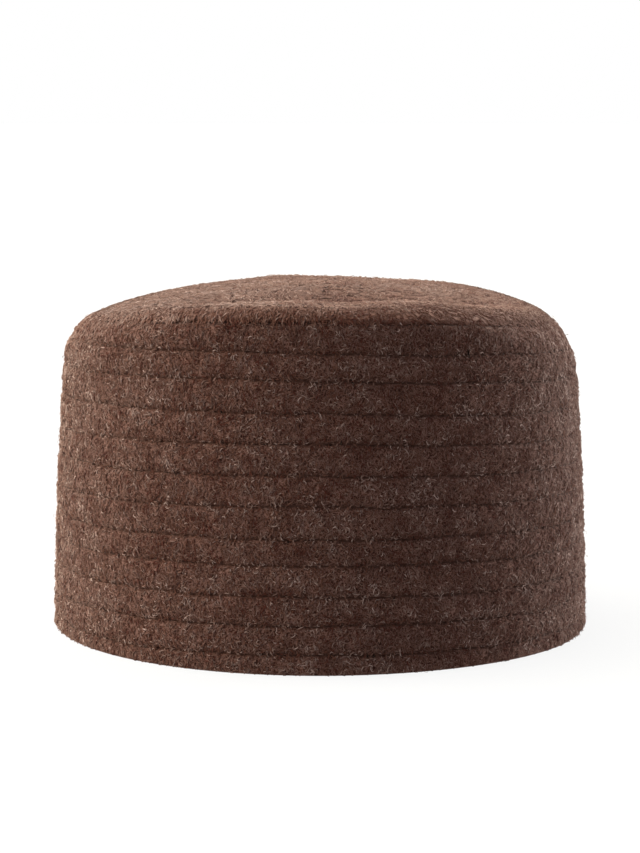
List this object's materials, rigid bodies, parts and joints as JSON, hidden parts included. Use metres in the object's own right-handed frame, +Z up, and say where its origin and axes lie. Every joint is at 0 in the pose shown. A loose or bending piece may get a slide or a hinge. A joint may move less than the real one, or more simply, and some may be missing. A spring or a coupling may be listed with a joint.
{
  "type": "ribbed pillbox hat",
  "caption": "Brimless oval hat of brushed wool, its straight wall ribbed by level rows of stitching, with a softly dented flat top turned down to a seam.",
  "frame": {"origin": "middle of the hem's plane, which the hat stands on", "axes": "+Z up through the top, +Y from the front of the hat to its back, +X to the right as the hat is seen from its front"},
  "size_m": [0.1836, 0.1993, 0.1149],
  "materials": {
    "band_wool": "brushed boiled wool, heathered dark brown, matt with a short nap",
    "tip_wool": "brushed boiled wool, heathered dark brown, matt with a short nap"
  },
  "bodies": {
    "root": {"side_band": "band_wool", "crown_tip": "tip_wool"}
  },
  "joints": []
}
